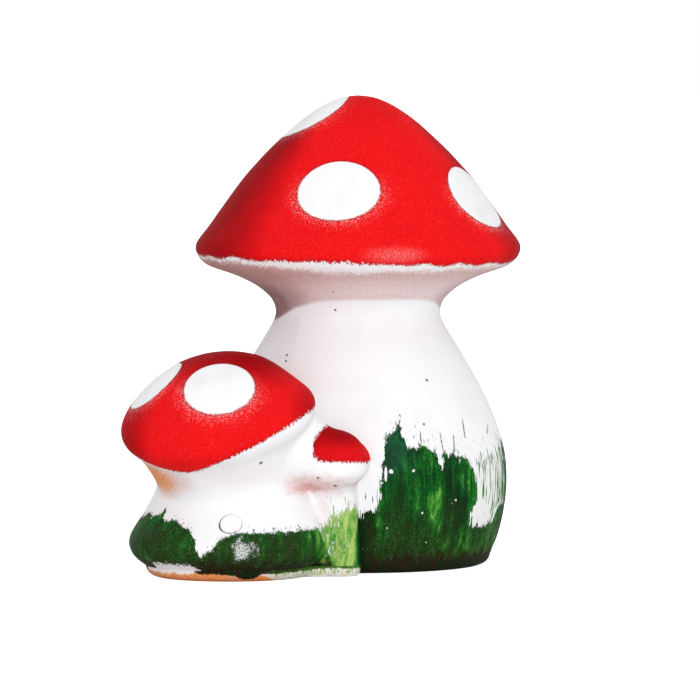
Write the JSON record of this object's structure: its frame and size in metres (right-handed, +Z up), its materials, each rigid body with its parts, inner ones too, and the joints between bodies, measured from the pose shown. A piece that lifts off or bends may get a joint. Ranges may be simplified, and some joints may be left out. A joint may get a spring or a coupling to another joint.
{
  "type": "ceramic mushroom ornament",
  "caption": "Hand-painted earthenware toadstool group: a tall pear-stemmed toadstool with a squat leaning one and a bud luted to its foot, standing on a flat clay base",
  "frame": {"origin": "on the ground, where the tall toadstool's axis meets it", "axes": "+Z up along the tall toadstool's axis, +X to the viewer's right, -Y towards the viewer of the painted front"},
  "size_m": [0.1436, 0.1523, 0.17],
  "materials": {
    "white_stem": "matte white paint on fired clay, green brushed grass at the foot",
    "red_cap": "sprayed satin red paint with stencilled white spots, white below the lip",
    "bare_clay": "bare fired terracotta, its edge partly painted"
  },
  "bodies": {
    "root": {"large_stem": "white_stem", "large_cap": "red_cap", "front_stem": "white_stem", "front_cap": "red_cap", "bud_stem": "white_stem", "bud_cap": "white_stem", "vent_plug": "white_stem", "base_slab": "bare_clay"}
  },
  "joints": []
}
